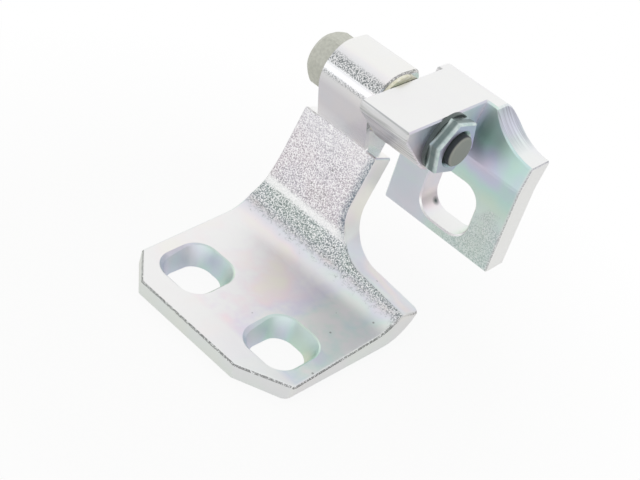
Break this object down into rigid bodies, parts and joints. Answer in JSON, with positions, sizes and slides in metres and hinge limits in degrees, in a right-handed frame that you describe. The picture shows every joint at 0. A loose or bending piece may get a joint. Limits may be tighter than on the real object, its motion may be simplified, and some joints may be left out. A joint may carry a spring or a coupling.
{
  "type": "car door hinge",
  "caption": "Zinc-plated steel car door hinge: a cranked leaf bolted to the body pillar and a stepped leaf bolted to the door, swinging on one shouldered pin held by a nut.",
  "frame": {"origin": "on the pillar leaf's mounting face, halfway between its two adjusting holes", "axes": "+X along the hinge pin towards its nut, +Y from the pillar leaf's free edge towards the door leaf, +Z away from the pillar face towards the pin"},
  "size_m": [0.0568, 0.0744, 0.0557],
  "materials": {
    "zinc_leaf": "bright zinc plate with a pale iridescent passivation, shot-blast grain where the forging was cleaned",
    "zinc_nut": "bright zinc plate",
    "pin_steel": "dull olive-grey phosphated steel",
    "bush_bronze": "dull plain bearing bronze",
    "washer_black": "black coated spring steel"
  },
  "bodies": {
    "pillar": {"pillar_leaf": "zinc_leaf", "knuckle_bush": "bush_bronze"},
    "door": {"door_leaf": "zinc_leaf", "hinge_pin": "pin_steel", "pin_washer": "washer_black", "pin_nut": "zinc_nut"}
  },
  "joints": [
    {"name": "door_swing", "type": "hinge", "parent": "pillar", "child": "door", "pos_m": [-0.012, 0.0405, 0.0474], "axis": [1, 0, 0], "range_deg": [-25, 76]}
  ]
}
